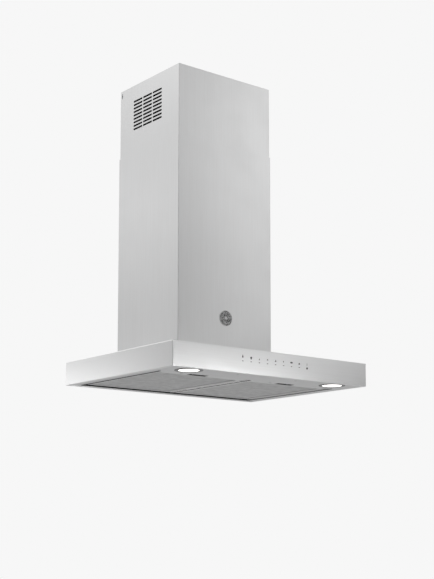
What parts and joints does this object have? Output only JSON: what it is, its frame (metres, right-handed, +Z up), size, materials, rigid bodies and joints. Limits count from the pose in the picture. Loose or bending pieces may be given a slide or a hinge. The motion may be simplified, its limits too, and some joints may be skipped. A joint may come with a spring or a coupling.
{
  "type": "wall-mounted range hood",
  "caption": "Wall-mounted kitchen extractor hood with a shallow box canopy, telescoping rectangular chimney, tilting grease filters, round lamps and a touch control row.",
  "frame": {"origin": "on the wall plane, at the middle of the canopy's rear bottom edge", "axes": "+X to the right seen from the front, +Y into the wall, +Z up"},
  "size_m": [0.6, 0.45, 0.79],
  "materials": {
    "brushed_sheet": "satin, brushed vertically",
    "panel_sheet": "satin, brushed side to side",
    "zinc_sheet": "dull galvanised",
    "filter_rim": "satin",
    "filter_mesh": "expanded mesh",
    "lamp_ring": "satin",
    "lamp_lens": "frosted, lit",
    "lamp_board": "white solder mask",
    "heat_sink": "cast",
    "spring_steel": "bright",
    "symbol_ink": "smooth",
    "circuit": "solder mask",
    "housing_plastic": "moulded, fine texture",
    "box_plastic": "moulded",
    "black_plastic": "moulded",
    "fan_plastic": "moulded",
    "motor_casing": "black, satin",
    "bearing_steel": "polished",
    "shaft_steel": "ground",
    "screw_steel": "zinc plated",
    "badge_metal": "satin, dark"
  },
  "bodies": {
    "canopy": {"canopy_shell": "brushed_sheet", "underside_panel": "panel_sheet", "filter_divider": "panel_sheet", "filter_rear_ledge": "panel_sheet", "touch_symbols": "symbol_ink", "indicator_windows": "symbol_ink", "control_board": "circuit", "control_cover": "box_plastic", "led_driver": "box_plastic", "junction_box": "box_plastic", "junction_box_lid": "box_plastic", "terminal_block": "black_plastic", "cable_gland": "black_plastic", "lamp_bezel_left": "lamp_ring", "lamp_bezel_right": "lamp_ring", "lamp_lens_left": "lamp_lens", "lamp_lens_right": "lamp_lens", "lamp_boards": "lamp_board", "lamp_housing_left": "heat_sink", "lamp_housing_right": "heat_sink", "lamp_clips": "spring_steel", "blower_rail_front": "zinc_sheet", "blower_rail_rear": "zinc_sheet", "blower_scroll": "housing_plastic", "blower_side_left": "housing_plastic", "blower_side_right": "housing_plastic", "motor": "motor_casing", "motor_bearings": "bearing_steel", "motor_bracket": "zinc_sheet", "run_capacitor": "heat_sink", "outlet_box": "zinc_sheet", "outlet_collar": "housing_plastic", "damper_spindle": "shaft_steel", "lower_cover": "brushed_sheet", "round_badge": "badge_metal", "canopy_wall_bracket": "zinc_sheet", "panel_screws": "screw_steel", "housing_screws": "screw_steel"},
    "upper_cover": {"upper_cover": "brushed_sheet", "upper_wall_bracket": "zinc_sheet", "upper_cover_screws": "screw_steel", "air_diverter": "black_plastic"},
    "fan": {"impeller_disc": "fan_plastic", "impeller_rings": "fan_plastic", "impeller_blades": "fan_plastic", "motor_shaft": "shaft_steel"},
    "damper_left": {"damper_left": "housing_plastic"},
    "damper_right": {"damper_right": "housing_plastic"},
    "filter_left": {"filter_frame_left": "filter_rim", "filter_mesh_left": "filter_mesh", "filter_core_left": "filter_mesh", "latch_pocket_left": "black_plastic", "latch_spring_left": "spring_steel"},
    "filter_right": {"filter_frame_right": "filter_rim", "filter_mesh_right": "filter_mesh", "filter_core_right": "filter_mesh", "latch_pocket_right": "black_plastic", "latch_spring_right": "spring_steel"},
    "latch_left": {"filter_latch_left": "black_plastic"},
    "latch_right": {"filter_latch_right": "black_plastic"}
  },
  "joints": [
    {"name": "upper_cover_slide", "type": "slide", "parent": "canopy", "child": "upper_cover", "axis": [0, 0, 1], "range_m": [-0.16, 0.19]},
    {"name": "impeller_spin", "type": "hinge", "parent": "canopy", "child": "fan", "pos_m": [0, -0.105, 0.161], "axis": [1, 0, 0], "continuous": true},
    {"name": "damper_left_swing", "type": "hinge", "parent": "canopy", "child": "damper_left", "pos_m": [0, -0.131, 0.336], "axis": [0, 1, 0], "range_deg": [0, 75]},
    {"name": "damper_right_swing", "type": "hinge", "parent": "canopy", "child": "damper_right", "pos_m": [0, -0.131, 0.336], "axis": [0, -1, 0], "range_deg": [0, 75]},
    {"name": "filter_left_tilt", "type": "hinge", "parent": "canopy", "child": "filter_left", "pos_m": [-0.1355, -0.03, 0.0025], "axis": [1, 0, 0], "range_deg": [0, 70]},
    {"name": "filter_right_tilt", "type": "hinge", "parent": "canopy", "child": "filter_right", "pos_m": [0.1355, -0.03, 0.0025], "axis": [1, 0, 0], "range_deg": [0, 70]},
    {"name": "latch_left_slide", "type": "slide", "parent": "filter_left", "child": "latch_left", "axis": [0, 1, 0], "range_m": [0, 0.006], "stiffness_N_per_m": 300, "springref_m": -0.004, "deforming": ["latch_spring_left"]},
    {"name": "latch_right_slide", "type": "slide", "parent": "filter_right", "child": "latch_right", "axis": [0, 1, 0], "range_m": [0, 0.006], "stiffness_N_per_m": 300, "springref_m": -0.004, "deforming": ["latch_spring_right"]}
  ]
}
